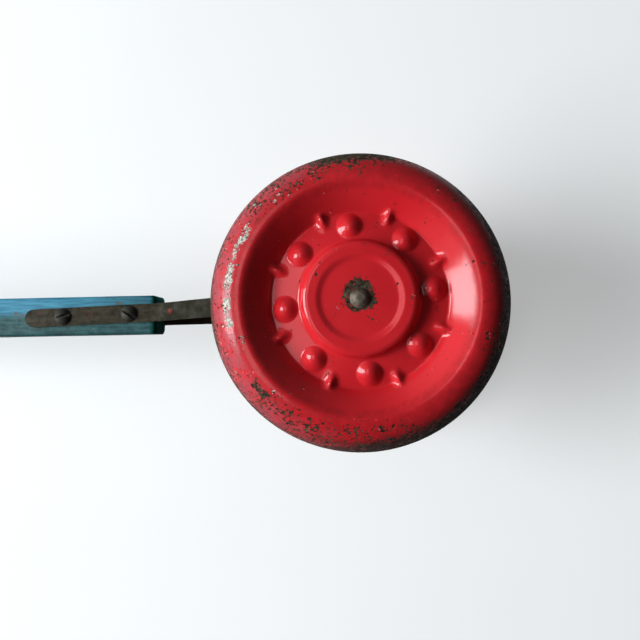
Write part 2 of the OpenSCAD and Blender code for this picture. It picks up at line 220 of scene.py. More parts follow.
def softened(line, sigma, spacing=0.05):
    """The line with its corners rounded over about sigma, ends kept."""
    line = resampled(line, spacing)
    reach = int(3 * sigma / spacing)
    weight = np.exp(-0.5 * (np.arange(-reach, reach + 1) * spacing / sigma) ** 2)
    weight /= weight.sum()
    out = line.copy()
    for k in (0, 1):
        head = 2 * line[0, k] - line[reach:0:-1, k]
        tail = 2 * line[-1, k] - line[-2:-reach - 2:-1, k]
        out[:, k] = np.convolve(np.concatenate([head, line[:, k], tail]), weight, "valid")
    return out


def normals_2d(line):
    """Unit normals on the left of a line."""
    d = np.gradient(line, axis=0)
    d /= np.linalg.norm(d, axis=1)[:, None]
    return np.stack([-d[:, 1], d[:, 0]], 1)


def smoothstep(lo, hi, x):
    t = np.clip((x - lo) / (hi - lo), 0, 1)
    return t * t * (3 - 2 * t)


def revolved(profile, cols, side, extra=None):
    """points[row, column, xyz] of a profile [radius, distance from the middle] turned about Y."""
    turn = np.linspace(0, 2 * math.pi, cols, endpoint=False)
    r = np.repeat(profile[:, :1], cols, 1)
    y = np.repeat(profile[:, 1:], cols, 1)
    if extra is not None:
        y = y + extra
    points = np.stack([r * np.cos(turn), side * y, r * np.sin(turn)], -1)
    return points * MM


# ---------- materials ----------


class Nodes:
    """Short calls for building one material's node tree."""

    def __init__(self, name):
        self.material = bpy.data.materials.new(name)
        self.material.use_nodes = True
        self.tree = self.material.node_tree
        self.tree.nodes.clear()
        self.coords = self.add("ShaderNodeTexCoord").outputs["Object"]

    def add(self, kind, **settings):
        node = self.tree.nodes.new(kind)
        for key, value in settings.items():
            setattr(node, key, value)
        return node

    def put(self, socket, value):
        if isinstance(value, bpy.types.NodeSocket):
            self.tree.links.new(value, socket)
        elif isinstance(value, (tuple, list)) and len(value) == 3 and socket.type == "RGBA":
            socket.default_value = (*value, 1)
        else:
            socket.default_value = value

    def noise(self, scale, detail=4, roughness=0.55, coords=None):
        node = self.add("ShaderNodeTexNoise")
        self.put(node.inputs["Vector"], coords or self.coords)
        for key, value in (("Scale", scale), ("Detail", detail), ("Roughness", roughness)):
            node.inputs[key].default_value = value
        return node.outputs["Fac"]

    def math(self, operation, a, b=0.0, clamp=False):
        node = self.add("ShaderNodeMath", operation=operation, use_clamp=clamp)
        self.put(node.inputs[0], a)
        self.put(node.inputs[1], b)
        return node.outputs[0]

    def ramp(self, value, lo, hi, to_lo=0.0, to_hi=1.0):
        """Maps lo..hi smoothly to to_lo..to_hi."""
        node = self.add("ShaderNodeMapRange", interpolation_type="SMOOTHSTEP")
        names = ("Value", "From Min", "From Max", "To Min", "To Max")
        for key, v in zip(names, (value, lo, hi, to_lo, to_hi)):
            self.put(node.inputs[key], v)
        return node.outputs["Result"]

    def mix(self, factor, a, b):
        node = self.add("ShaderNodeMix", data_type="RGBA")
        self.put(node.inputs[0], factor)
        self.put(node.inputs[6], a)
        self.put(node.inputs[7], b)
        return node.outputs[2]

    def split(self, vector=None):
        """The X, Y and Z of a vector, or of the place in the piece's own frame."""
        node = self.add("ShaderNodeSeparateXYZ")
        self.put(node.inputs[0], vector or self.coords)
        return node.outputs

    def attribute(self, name):
        return self.add("ShaderNodeAttribute", attribute_name=name).outputs["Fac"]

    def scaled_coords(self, x, y, z):
        node = self.add("ShaderNodeMapping")
        self.put(node.inputs["Vector"], self.coords)
        node.inputs["Scale"].default_value = (x, y, z)
        return node.outputs["Vector"]

    def bump(self, height, distance, strength=1.0, normal=None):
        node = self.add("ShaderNodeBump")
        self.put(node.inputs["Height"], height)
        node.inputs["Distance"].default_value = distance
        node.inputs["Strength"].default_value = strength
        if normal is not None:
            self.put(node.inputs["Normal"], normal)
        return node.outputs["Normal"]

    def finish(self, **inputs):
        shader = self.add("ShaderNodeBsdfPrincipled")
        out = self.add("ShaderNodeOutputMaterial")
        names = {
            "color": "Base Color", "metallic": "Metallic", "roughness": "Roughness",
            "normal": "Normal", "specular": "Specular IOR Level",
        }
        for key, value in inputs.items():
            self.put(shader.inputs[names[key]], value)
        self.tree.links.new(shader.outputs["BSDF"], out.inputs["Surface"])
        return self.material


def bare_metal_color(m):
    """Corroded bare steel: olive-black, brown rust and grey-green patches."""
    dark = m.mix(m.ramp(m.noise(520), 0.40, 0.6), (0.014, 0.012, 0.007), (0.070, 0.050, 0.026))
    return m.mix(m.ramp(m.noise(430, 6, 0.75), 0.53, 0.66), dark, (0.130, 0.115, 0.066))


def enamel(name, color, deep, scuff_and_sheen_color, grime_and_shade_color):
    """Gloss enamel on steel. Attributes on the mesh say where it wears: bare, primer, scuffs and dirt;
    on the wheels' faces the scuffs also carry a painted sheen and the dirt a painted shade.
    """
    m = Nodes(name)
    tone = m.mix(m.ramp(m.noise(22, 3), 0.3, 0.7), color, deep)
    # Chalky scuffs; on the wheels' faces they also stand in for a painted sheen where the shoulder
    # faces the window light
    scuff_and_sheen = m.math("MULTIPLY", m.attribute("scuff_and_sheen"), m.ramp(m.noise(130, 6, 0.72), 0.36, 0.62))
    tone = m.mix(m.math("MULTIPLY", scuff_and_sheen, 0.8, clamp=True), tone, scuff_and_sheen_color)
    # Dirt; on the wheels' faces it also stands in for painted shade on the rim that faces away from
    # the window light
    grime_and_shade = m.math("MULTIPLY", m.attribute("grime_and_shade"), m.ramp(m.noise(260, 7, 0.75), 0.3, 0.62))
    tone = m.mix(m.math("MULTIPLY", grime_and_shade, 0.9, clamp=True), tone, grime_and_shade_color)

    # Chips: fine noise, gathered into groups by a slower one
    group = m.math("MULTIPLY", m.math("SUBTRACT", m.noise(130, 4, 0.6), 0.5), 1.1)
    fine = m.ramp(m.noise(640, 8, 0.72), 0.2, 0.8, -0.25, 1.25)
    grain = m.math("ADD", fine, group)
    spread = m.math("SUBTRACT", m.attribute("bare"), grain)
    nick = m.ramp(m.noise(330, 3, 0.6), 0.292, 0.278)
    chip = m.math("MAXIMUM", m.ramp(spread, 0.0, 0.02), nick)
    bruise = m.math("SUBTRACT", m.ramp(spread, -0.12, 0.0), chip, clamp=True)
    pale_grain = m.math("ADD", m.noise(520, 8, 0.74), group)
    pale = m.ramp(m.math("SUBTRACT", m.attribute("primer"), pale_grain), 0.0, 0.02)

    tone = m.mix(m.math("MULTIPLY", bruise, 0.45), tone, grime_and_shade_color)
    primer = m.mix(m.ramp(m.noise(900), 0.4, 0.6), (0.27, 0.24, 0.19), (0.62, 0.60, 0.54))
    tone = m.mix(pale, tone, primer)
    tone = m.mix(chip, tone, bare_metal_color(m))
    worn = m.math("MAXIMUM", chip, pale)
    gloss = m.ramp(m.noise(60, 4), 0.3, 0.75, 0.11, 0.19)
    gloss = m.math("ADD", gloss, m.math("MULTIPLY", m.math("MAXIMUM", scuff_and_sheen, grime_and_shade), 0.32))
    roughness = m.add("ShaderNodeMix", data_type="FLOAT")
    m.put(roughness.inputs[0], worn)
    m.put(roughness.inputs[2], gloss)
    roughness.inputs[3].default_value = 0.85
    pitted = m.math("MULTIPLY", m.math("MULTIPLY", worn, m.noise(1500, 4)), 0.7)
    height = m.math("ADD", m.math("MULTIPLY", worn, -1.0), pitted)
    height = m.math("ADD", height, m.math("MULTIPLY", m.noise(900, 3, 0.6), 0.05))
    wavy = m.bump(m.noise(34, 2), 0.0016, 0.25)
    return m.finish(
        color=tone, metallic=m.math("MULTIPLY", chip, 0.3), roughness=roughness.outputs[0],
        normal=m.bump(height, 0.00016, 0.8, wavy), specular=0.5,
    )


def aged_steel(name, dark, light, rust, gloss, metal, specular=0.5, smudge=None, greased=None):
    """Bare steel gone brown-grey, with rust blooms, rubbed streaks and fine pitting.

    smudge is a touch of paint: its colour, and its place in the piece's own frame.
    greased is how much old grease darkens the piece from its bend on to the wheel.
    """
    m = Nodes(name)
    streak = m.noise(1.0, 6, 0.65, coords=m.scaled_coords(70, 330, 330))
    blotch = m.math("MULTIPLY", m.math("ADD", m.noise(210, 6, 0.68), streak), 0.5)
    tone = m.mix(m.ramp(blotch, 0.38, 0.64), dark, light)
    rusty = m.ramp(m.noise(120, 7, 0.72), 0.56, 0.70)
    tone = m.mix(rusty, tone, rust)
    if greased:
        grease = m.ramp(m.split()["X"], -0.1090, -0.0990, 0.0, greased)
        tone = m.mix(grease, tone, (0.009, 0.008, 0.003))
    if smudge:
        paint, place = smudge
        gap = m.add("ShaderNodeVectorMath", operation="DISTANCE")
        m.put(gap.inputs[0], m.coords)
        gap.inputs[1].default_value = place
        reach = m.ramp(gap.outputs["Value"], 0.0, 0.0065, 0.58, 0.0)
        painted = m.math("SUBTRACT", reach, m.noise(420, 6, 0.72))
        tone = m.mix(m.ramp(painted, -0.06, 0.14), tone, paint)
    return m.finish(
        color=tone,
        metallic=m.ramp(rusty, 0, 1, metal, metal * 0.2),
        roughness=m.ramp(m.noise(260, 5), 0.3, 0.7, gloss, gloss + 0.25),
        normal=m.bump(m.noise(1300, 5, 0.7), 0.00016, 0.6),
        specular=specular,
    )


def worn_paint_on_wood():
    """Old oil paint on a stick: brushed along the grain, dull, dirty and thin in places."""
    m = Nodes("worn_blue_paint")
    streak = m.noise(1.0, 5, 0.6, coords=m.scaled_coords(60, 900, 900))
    patch = m.noise(90, 5, 0.62)
    place = m.split()
    fresh = m.mix(m.ramp(streak, 0.36, 0.62), (0.028, 0.185, 0.295), (0.060, 0.310, 0.450))
    mottled = m.math("MULTIPLY", m.noise(260, 6, 0.7), 0.6)
    mottled = m.math("ADD", mottled, m.math("MULTIPLY", streak, 0.4))
    dirty = m.mix(m.ramp(mottled, 0.42, 0.58), (0.007, 0.035, 0.030), (0.026, 0.090, 0.075))
    # The paint is darker from the strap down, and towards the fork's end of the stick
    low = m.ramp(place["Z"], -0.0065, -0.0015, 1.0, 0.0)
    toward_fork_end = m.ramp(place["X"], -0.165, -0.115, 0.0, 0.60)
    darker_paint = m.math("MAXIMUM", low, m.math("MULTIPLY", toward_fork_end, m.ramp(patch, 0.3, 0.6, 0.7, 1.0)))
    tone = m.mix(m.math("MULTIPLY", darker_paint, 0.9), fresh, dirty)
    # Near-black green over the last few millimetres and the end face, with no specular: partly the
    # paint's darker end, partly painted shade on the end that faces away from the window light
    near_end = m.ramp(place["X"], -0.1115, -0.1085, 0.0, 0.88)
    tone = m.mix(near_end, tone, (0.001, 0.064, 0.048))
    wood = m.mix(m.ramp(streak, 0.4, 0.6), (0.10, 0.065, 0.04), (0.22, 0.15, 0.095))
    bare = m.ramp(m.math("ADD", m.noise(160, 8, 0.68), m.math("MULTIPLY", streak, 0.12)), 0.705, 0.72)
    tone = m.mix(bare, tone, wood)
    height = m.math("ADD", m.math("MULTIPLY", streak, 0.6), m.math("MULTIPLY", bare, -0.8))
    return m.finish(
        color=tone, roughness=m.ramp(patch, 0.3, 0.7, 0.42, 0.62), normal=m.bump(height, 0.0002, 0.6),
        specular=m.ramp(near_end, 0, 1, 0.3, 0.0),
    )


HANDLE_PAINT = worn_paint_on_wood()
RED = enamel(
    "red_enamel", color=(0.62, 0.019, 0.026), deep=(0.54, 0.013, 0.019),
    scuff_and_sheen_color=(0.37, 0.042, 0.058), grime_and_shade_color=(0.055, 0.006, 0.006),
)
BLUE = enamel(
    "blue_enamel", color=(0.050, 0.205, 0.310), deep=(0.035, 0.150, 0.235),
    scuff_and_sheen_color=(0.20, 0.36, 0.42), grime_and_shade_color=(0.018, 0.035, 0.040),
)
STRAP_STEEL = aged_steel(
    "strap_steel", (0.020, 0.017, 0.009), (0.062, 0.054, 0.033), (0.085, 0.036, 0.020),
    gloss=0.55, metal=0.1, specular=0.18,
    smudge=((0.26, 0.030, 0.018), (-0.0985, -0.0125, -0.0026)), greased=0.75,
)
SCREW_STEEL = aged_steel(
    "screw_steel", (0.012, 0.011, 0.007), (0.050, 0.045, 0.031), (0.045, 0.022, 0.012),
    gloss=0.5, metal=0.3,
)
AXLE_STEEL = aged_steel(
    "axle_steel", (0.055, 0.043, 0.031), (0.20, 0.165, 0.125), (0.12, 0.062, 0.036),
    gloss=0.42, metal=0.35,
)
FITTING_STEEL = aged_steel(
    "fitting_steel", (0.14, 0.13, 0.115), (0.34, 0.33, 0.31), (0.18, 0.095, 0.055),
    gloss=0.38, metal=0.8,
)


# ---------- wheels ----------


def dished_wall():
    """The wall from the sunk floor up to the crest: nearly a cone, then rounding over."""
    t = np.linspace(0, 1, 40)[:, None]
    foot = np.array([FLOOR_OUT_R, FLOOR_Y - FLOOR_FALL / 2])
    crest = np.array([CREST_R, CREST_Y])
    knee = np.array([foot[0] + (CREST_Y - foot[1]) / DISH_SLOPE, CREST_Y])
    return foot * (1 - t) ** 2 + knee * 2 * t * (1 - t) + crest * t ** 2


def face_profile():
    """Outer surface of a wheel's face, hub to seam, as [radius, distance from the middle]."""
    w = np.linspace(0, math.pi / 2, 60)[1:]
    shoulder = np.stack([
        CREST_R + (WHEEL_R - CREST_R) * np.sin(w),
        SEAM_Y + (CREST_Y - SEAM_Y) * np.cos(w),
    ], 1)
    hub = np.array([
        [HUB_HOLE_R, DISC_Y],
        [DISC_R - 0.5, DISC_Y],
        [DISC_R + 2.0, RING_Y],
        [FLOOR_IN_R - 2.8, RING_Y - 0.05],
        [FLOOR_IN_R - 1.2, RING_Y - 0.8],
        [FLOOR_IN_R + 0.3, FLOOR_Y + 0.5 + FLOOR_FALL / 2],
        [FLOOR_IN_R + 1.1, FLOOR_Y + FLOOR_FALL / 2 - 0.15],
    ])
    return softened(np.concatenate([hub, dished_wall(), shoulder]), 0.45)


def face_spacing(p):
    """Row spacing on a wheel's face: finer where the pressing has detail."""
    r = p[0]
    if r < 16.5:
        return 1.2
    if r < 27:
        return 0.30
    if r < 44:
        return 0.36
    if r < CREST_R:
        return 0.6
    return 0.85


def pressed_detail(r, turn):
    """Height of the bumps and ribs above the face at radius r and angle turn."""
    pitch = 2 * math.pi / BUMPS
    phase = math.radians(BUMP_PHASE)
    near_bump = (turn - phase + pitch / 2) % pitch - pitch / 2
    across = r * np.sin(near_bump)
    along = r * np.cos(near_bump) - BUMP_CIRCLE_R
    off = np.sqrt(across ** 2 + along ** 2) / BUMP_R
    dome = BUMP_H * np.clip(1 - off ** 2, 0, 1) ** 1.4
    near_rib = (turn - phase + math.radians(RIB_LAG)) % pitch - pitch / 2
    across = np.abs(r * np.sin(near_rib))
    wall = np.interp(r, dished_wall()[:, 0], dished_wall()[:, 1] - dished_wall()[0, 1])
    proud = RIB_H * smoothstep(RIB_IN_R, RIB_IN_R + RIB_RISE, r) - wall
    ridge = (proud + np.sqrt(proud ** 2 + 0.7)) / 2 - 0.41
    ridge = np.clip(ridge, 0, None) * np.exp(-(across / RIB_HALF_W) ** 2)
    return np.maximum(dome, ridge * (r < CREST_R))


def window(x, lo, hi, soft):
    """1 between lo and hi, falling to 0 over soft on each side."""
    return smoothstep(lo - soft, lo, x) * (1 - smoothstep(hi, hi + soft, x))


def angle_window(turn, lo, hi, soft):
    """window() for angles in degrees, where lo to hi may pass 360."""
    mid = (lo + hi) / 2
    off = (turn - mid + 180) % 360 - 180
    half = (hi - lo) / 2
    return 1 - smoothstep(half, half + soft, np.abs(off))


def wear_masks(r, y, a):
    """How far the enamel has gone at each point of a wheel's face, and where painted sheen and shade
    are laid on it; a is the angle in degrees.
    """
    # drop is 0 at the crest and 90 at the seam, and below 0 inside the crest
    shoulder_w, shoulder_h = WHEEL_R - CREST_R, CREST_Y - SEAM_Y
    drop = np.degrees(np.arctan2(r - CREST_R, (y - SEAM_Y) * shoulder_w / shoulder_h))
    drop = np.where(r > CREST_R, drop, -1 - (CREST_R - r) * 4)
    bare = -0.12 + 0.16 * smoothstep(-16, 10, drop)
    # the tread that rolls on the ground, and the shoulder above it
    bare += 0.42 * smoothstep(36, 80, drop)
    bare += 0.08 * smoothstep(8, 34, drop)
    # heavy band on one side, where the rim has rubbed through
    bare += 0.36 * angle_window(a, 290, 385, 40) * smoothstep(16, 58, drop)
    bare += 0.16 * angle_window(a, 300, 344, 14) * smoothstep(10, 34, drop)
    # patch at the top of the rim and speckles beside it
    bare += 0.60 * angle_window(a, 80, 104, 9) * smoothstep(22, 40, drop)
    bare += 0.20 * angle_window(a, 92, 140, 9) * window(drop, 12, 46, 9)
    # groups of chips low on the rim
    bare += 0.19 * angle_window(a, 228, 288, 9) * window(drop, 12, 42, 8)
    bare += 0.55 * angle_window(a, 219.5, 225.5, 3.0) * window(drop, 17, 25, 5)
    bare += 0.06 * angle_window(a, 146, 222, 12) * smoothstep(15, 40, drop)
    bare += 0.20 * angle_window(a, 160, 196, 8) * smoothstep(42, 60, drop)
    # bare patch round the axle's head
    ragged = 7.6 + 1.3 * np.cos(np.radians(a - 112)) + 0.7 * np.cos(np.radians(3 * a + 40))
    bare += 0.98 * smoothstep(ragged + 2.2, ragged - 2.4, r)
    bare += 0.34 * angle_window(a, 296, 318, 14) * window(r, 8.5, 11.5, 1.4)
    # three patches of primer in a row, where the rim has rubbed on something
    patches = 0.84 + 0.16 * np.cos(np.radians(26 * (a - 158)))
    primer = 0.16 + 0.245 * patches * angle_window(a, 153, 190, 6) * window(drop, 14, 22, 5)
    primer += 0.12 * angle_window(a, 112, 222, 15) * window(drop, 6, 40, 8)
    # scuffs on the shoulder, heavy on the left half that faces the window light: partly chalky wear,
    # partly a painted sheen
    scuff_and_sheen = angle_window(a, 120, 245, 25) * smoothstep(6, 26, drop)
    scuff_and_sheen += 0.3 * smoothstep(20, 40, drop)
    # dark band on the right of the rim: partly dirt, partly painted shade on the side away from the
    # window light; then dirt on the tread and round the crest
    grime_and_shade = 1.5 * angle_window(a, 284, 385, 40) * smoothstep(18, 46, drop)
    grime_and_shade += 0.6 * smoothstep(24, 60, drop) + 0.3 * window(drop, -12, 20, 10)
    return {"bare": bare, "primer": primer, "scuff_and_sheen": scuff_and_sheen, "grime_and_shade": grime_and_shade}


def wheel_face(side):
    outer = resampled(face_profile(), face_spacing)
    inner_line = outer - normals_2d(outer) * SHEET * (1 if normals_2d(outer)[2][1] > 0 else -1)
    inner = resampled(inner_line[::-1], 3.2)
    profile = np.concatenate([outer, inner])
    turn = np.linspace(0, 2 * math.pi, FACE_COLS, endpoint=False)
    r = np.repeat(profile[:, :1], FACE_COLS, 1)
    extra = np.zeros_like(r)
    n = len(outer)
    extra[:n] = pressed_detail(r[:n], turn[None, :])
    points = revolved(profile, FACE_COLS, side, extra)
    name = f"{SIDE_NAMES[side]}_wheel_enamelled_face"
    obj = grid_object(name, points, close_rows=True, flip=side == LEFT)
    y = np.repeat(profile[:, 1:], FACE_COLS, 1)
    fork_turn = np.degrees(turn - HANG)[None, :] * np.ones_like(r)
    if side == LEFT:
        # the left wheel sits turned on the axle, so that the two are not worn as mirror images
        fork_turn = 205 - fork_turn
    masks = wear_masks(r, y, fork_turn % 360)
    for key, values in masks.items():
        values[n:] = 0.3
        set_attribute(obj, key, values)
    settle(obj, UPRIGHT, RED, ROLLING, f"{SIDE_NAMES[side]}_wheel_face")
    return obj


def worn_at_random(obj, rim):
    """Wear for plain enamelled pressings: a little everywhere, more where rim() says."""
    worn = rim(coordinates(obj))
    set_attribute(obj, "bare", 0.05 + 0.40 * worn)
    set_attribute(obj, "primer", 0.10 + 0.10 * worn)
    set_attribute(obj, "scuff_and_sheen", 0.25 + 0.6 * worn)
    set_attribute(obj, "grime_and_shade", 0.35 + 0.3 * worn)


def shell_profile(line, thickness, inner_spacing):
    """Closed outline of a sheet under a line, row by row."""
    way = normals_2d(line)
    inner = line - way * thickness
    return np.concatenate([line, resampled(inner[::-1], inner_spacing)])


def wheel_back(side):
    """The dished back of a wheel, hub to hem; the sheet lies towards the face."""
    pan_y, edge_y, edge_r, hem_r = BACK_Y + 1.5, SEAM_Y - 1, 7, WHEEL_R - 0.05
    w = np.linspace(-math.pi / 2, 0, 24)
    edge = np.stack([hem_r - edge_r + edge_r * np.cos(w), edge_y + (edge_y - BACK_Y) * np.sin(w)], 1)
    line = np.concatenate([
        [[AXLE_R + 0.05, BACK_Y], [13, BACK_Y], [16, pan_y], [47, pan_y], [50, BACK_Y]],
        edge,
        [[hem_r, SEAM_Y - 0.15]],
    ])
    line = resampled(softened(line, 0.5), lambda p: 2.2 if 18 < p[0] < 45 else 0.7)
    profile = shell_profile(line, -SHEET, 3.0)
    name = f"{SIDE_NAMES[side]}_wheel_enamelled_back"
    obj = grid_object(name, revolved(profile, 256, side), True, side == RIGHT)
    worn_at_random(obj, lambda co: smoothstep(60, 69, np.hypot(co[:, 0], co[:, 2])))
    settle(obj, UPRIGHT, RED, ROLLING, f"{SIDE_NAMES[side]}_wheel_back")
    return obj


# ---------- axle ----------


def hammered(points, centre, dents, rng):
    """Flattens a domed head with random blows: each is a plane that clips the dome."""
    out = points.copy()
    for _ in range(dents):
        tilt, turn = rng.uniform(0, 0.95), rng.uniform(0, 2 * math.pi)
        flat = math.sin(tilt)
        way = np.array([flat * math.cos(turn), math.cos(tilt), flat * math.sin(turn)])
        way[1] *= np.sign(centre[1])
        reach = (out - centre) @ way
        limit = reach.max() - rng.uniform(0.06, 0.17)
        out -= np.clip(reach - limit, 0, None)[:, None] * way
    return out


def axle():
    """A rod with a peened, hammered head at each end."""
    head_y = DISC_Y + 0.05
    neck_r, neck_y = 2.4, DISC_Y - 1.05
    ball = (HEAD_R ** 2 + HEAD_H ** 2) / (2 * HEAD_H)
    w = np.linspace(0.001, math.asin(HEAD_R / ball), 22)
    dome = np.stack([ball * np.sin(w), head_y + HEAD_H - ball + ball * np.cos(w)], 1)
    half = np.concatenate([
        dome,
        [[HEAD_R - 0.1, head_y], [neck_r, head_y], [neck_r, neck_y], [AXLE_R, neck_y]],
        np.stack([np.full(20, AXLE_R), np.linspace(50, 1, 20)], 1),
    ])
    line = np.concatenate([half, half[::-1] * [1, -1]])
    obj = grid_object("axle_rod", revolved(line, 72, LEFT))
    co = coordinates(obj)
    rng = np.random.default_rng(11)
    for side in (RIGHT, LEFT):
        on_head = side * co[:, 1] > head_y + 0.02
        centre = np.array([0, side * (head_y + HEAD_H - ball), 0])
        co[on_head] = hammered(co[on_head], centre, 7, rng)
    obj.data.vertices.foreach_set("co", (co * MM).reshape(-1).astype(np.float32))
    weld(obj, 0.02 * MM)
    smooth_by_angle(obj, 24)
    settle(obj, UPRIGHT, AXLE_STEEL, ROLLING, "axle")
    return obj


# ---------- fork ----------


def strap_rise(side):
    """Height of a strap's middle where it has reached its full spread."""
    return STRAP_RISE - side * STRAP_LIFT


def strap_height(x, side):
    """Height of a strap's middle line at x."""
    behind = strap_rise(side) + (x - STRAP_SPREAD_X) * math.tan(STRAP_SLOPE)
    ahead = strap_rise(side) * x / STRAP_SPREAD_X
    return np.where(np.asarray(x) < STRAP_SPREAD_X, behind, ahead)


def strap_outline(side):
    """A strap from the side: a ribbon with half-round ends, as [x, z]."""
    r = STRAP_W / 2
    rear_x = STRAP_END_X + r
    rear_z = float(strap_height(rear_x, side))
    w = np.linspace(-math.pi / 2, math.pi / 2, 17)
    eye = [(r * math.cos(a), r * math.sin(a)) for a in w]
    rear = [(rear_x - r * math.cos(a), rear_z - r * math.sin(a)) for a in w]
    knee_x, knee_z = STRAP_SPREAD_X, strap_rise(side)
    return eye + [(knee_x, knee_z + r)] + rear + [(knee_x, knee_z - r)]


def screw_places(side):
    """Middle of each screw on one side, as [x, z]."""
    back = SCREW_STAGGER if side == LEFT else 0
    xs = [STICK_X - SCREW_FIRST - k * SCREW_PITCH - back for k in (0, 1)]
    return [(x, float(strap_height(x, side))) for x in xs]


def strap_middle():
    """A strap's middle line from above, [x, distance from the middle], with eased bends."""
    line = [
        [STRAP_END_X - 1, STRAP_SIDE_Y],
        [STRAP_BEND_X, STRAP_SIDE_Y],
        [STRAP_SPREAD_X, STRAP_WIDE_Y],
        [STRAP_W, STRAP_WIDE_Y],
    ]
    return softened(line, 1.3, 0.25)


def flat_plate(outline, holes, thickness):
    """A bmesh plate in X and Z, thick along Y, with round holes [x, z, radius]."""
    curve = bpy.data.curves.new("plate", "CURVE")
    curve.dimensions = "2D"
    curve.fill_mode = "BOTH"
    curve.extrude = thickness / 2
    loops = [outline]
    w = np.linspace(0, 2 * math.pi, 32, endpoint=False)
    for x, z, r in holes:
        loops.append([(x + r * math.cos(a), z + r * math.sin(a)) for a in w])
    for loop in loops:
        spline = curve.splines.new("POLY")
        spline.points.add(len(loop) - 1)
        for point, (x, z) in zip(spline.points, loop):
            point.co = (x, z, 0, 1)
        spline.use_cyclic_u = True
    obj = bpy.data.objects.new("plate", curve)
    bpy.context.scene.collection.objects.link(obj)
    mesh = bpy.data.meshes.new_from_object(obj.evaluated_get(bpy.context.evaluated_depsgraph_get()))
    bpy.data.objects.remove(obj)
    bm = bmesh.new()
    bm.from_mesh(mesh)
    bmesh.ops.remove_doubles(bm, verts=bm.verts, dist=0.001)
    bmesh.ops.rotate(bm, verts=bm.verts, matrix=Matrix.Rotation(math.pi / 2, 3, "X"))
    return bm


def strap(side):
    holes = [(0, 0, AXLE_R + 0.1)] + [(x, z, 2.3) for x, z in screw_places(side)]
    bm = flat_plate(strap_outline(side), holes, STRAP_T)
    middle = strap_middle()
    bends = [(STRAP_BEND_X, 8), (STRAP_SPREAD_X, 8)]
    cuts = list(np.arange(STRAP_END_X + 3, STRAP_W, 4.0))
    for at, reach in bends:
        cuts += list(np.arange(at - reach, at + reach, 0.8))
    for x in sorted(cuts):
        everything = bm.verts[:] + bm.edges[:] + bm.faces[:]
        bmesh.ops.bisect_plane(bm, geom=everything, dist=1e-5, plane_co=(x, 0, 0), plane_no=(1, 0, 0))
    way = normals_2d(middle)
    for v in bm.verts:
        x, t = v.co.x, v.co.y
        nx = np.interp(x, middle[:, 0], way[:, 0])
        ny = np.interp(x, middle[:, 0], way[:, 1])
        d = np.interp(x, middle[:, 0], middle[:, 1])
        v.co.x = x + nx * t
        v.co.y = side * (d + ny * t)
    bmesh.ops.scale(bm, verts=bm.verts, vec=(MM, MM, MM))
    bmesh.ops.recalc_face_normals(bm, faces=bm.faces)
    mesh = bpy.data.meshes.new("strap")
    bm.to_mesh(mesh)
    bm.free()
    obj = new_object(f"{SIDE_NAMES[side]}_fork_strap", mesh)
    ease_edges(obj, 0.22 * MM, 40)
    apply_modifiers(obj)
    smooth_by_angle(obj, 30)
    settle(obj, LEVEL, STRAP_STEEL, FORK, f"{SIDE_NAMES[side]}_strap")
    return obj


def screw(side, place, slot_turn, name):
    """A slotted round-head screw; its head stands on the strap."""
    seat = STRAP_SIDE_Y + STRAP_T / 2 + 0.05
    ball = (SCREW_R ** 2 + SCREW_H ** 2) / (2 * SCREW_H)
    w = np.linspace(0.001, math.asin(SCREW_R / ball) * 0.97, 16)
    dome = np.stack([ball * np.sin(w), seat + SCREW_H - ball + ball * np.cos(w)], 1)
    shank_r, tip_r, tip_y = 2.1, 0.3, seat - 12.5
    line = np.concatenate([dome, [
        [SCREW_R, seat + 0.12],
        [SCREW_R - 0.12, seat],
        [shank_r, seat],
        [shank_r, tip_y + 3.0],
        [tip_r, tip_y],
        [0.001, tip_y],
    ]])
    obj = grid_object(name, revolved(line, 64, side), flip=side == RIGHT)
    weld(obj, 0.02 * MM)
    slot_w, slot_depth = 1.7 * MM, 2.0 * MM
    bm = bmesh.new()
    bmesh.ops.create_cube(bm, size=1)
    bmesh.ops.scale(bm, verts=bm.verts, vec=(4 * SCREW_R * MM, 2 * slot_depth, slot_w))
    bmesh.ops.rotate(bm, verts=bm.verts, matrix=Matrix.Rotation(-math.radians(slot_turn), 3, "Y"))
    bmesh.ops.translate(bm, verts=bm.verts, vec=(0, side * (seat + SCREW_H) * MM, 0))
    mesh = bpy.data.meshes.new("slot")
    bm.to_mesh(mesh)
    bm.free()
    cut(obj, new_object("slot", mesh))
    ease_edges(obj, 0.12 * MM, 32)
    apply_modifiers(obj)
    smooth_by_angle(obj, 35)
    obj.data.transform(Matrix.Translation((place[0] * MM, 0, place[1] * MM)))
    return obj


def join(objs, name):
    """One mesh object out of several that share a frame."""
    bm = bmesh.new()
    for obj in objs:
        bm.from_mesh(obj.data)
        bpy.data.objects.remove(obj)
    mesh = bpy.data.meshes.new(name)
    bm.to_mesh(mesh)
    bm.free()
    return new_object(name, mesh)


def strap_screws(side, turns):
    places = screw_places(side)
    parts = [screw(side, place, turn, "screw") for place, turn in zip(places, turns)]
    obj = join(parts, f"{SIDE_NAMES[side]}_slotted_screws")
    settle(obj, LEVEL, SCREW_STEEL, FORK, f"{SIDE_NAMES[side]}_strap_screws")
    return obj


# ---------- handle ----------


def section(half_w, half_h, r, per_corner=6, per_side=5):
    """Rounded rectangle in Y and Z, with the same number of points whatever its size."""
    out = []
    corners = [(1, 1, 0), (-1, 1, 90), (-1, -1, 180), (1, -1, 270)]
    for k, (sy, sz, start) in enumerate(corners):
        cy, cz = sy * (half_w - r), sz * (half_h - r)
        for i in range(per_corner + 1):
            a = math.radians(start + 90 * i / per_corner)
            out.append((cy + r * math.cos(a), cz + r * math.sin(a)))
        ny, nz, nstart = corners[(k + 1) % 4]
        a = math.radians(nstart)
        end = (ny * (half_w - r) + r * math.cos(a), nz * (half_h - r) + r * math.sin(a))
        begin = out[-1]
        for i in range(1, per_side):
            t = i / per_side
            out.append((begin[0] + (end[0] - begin[0]) * t, begin[1] + (end[1] - begin[1]) * t))
    return np.array(out)


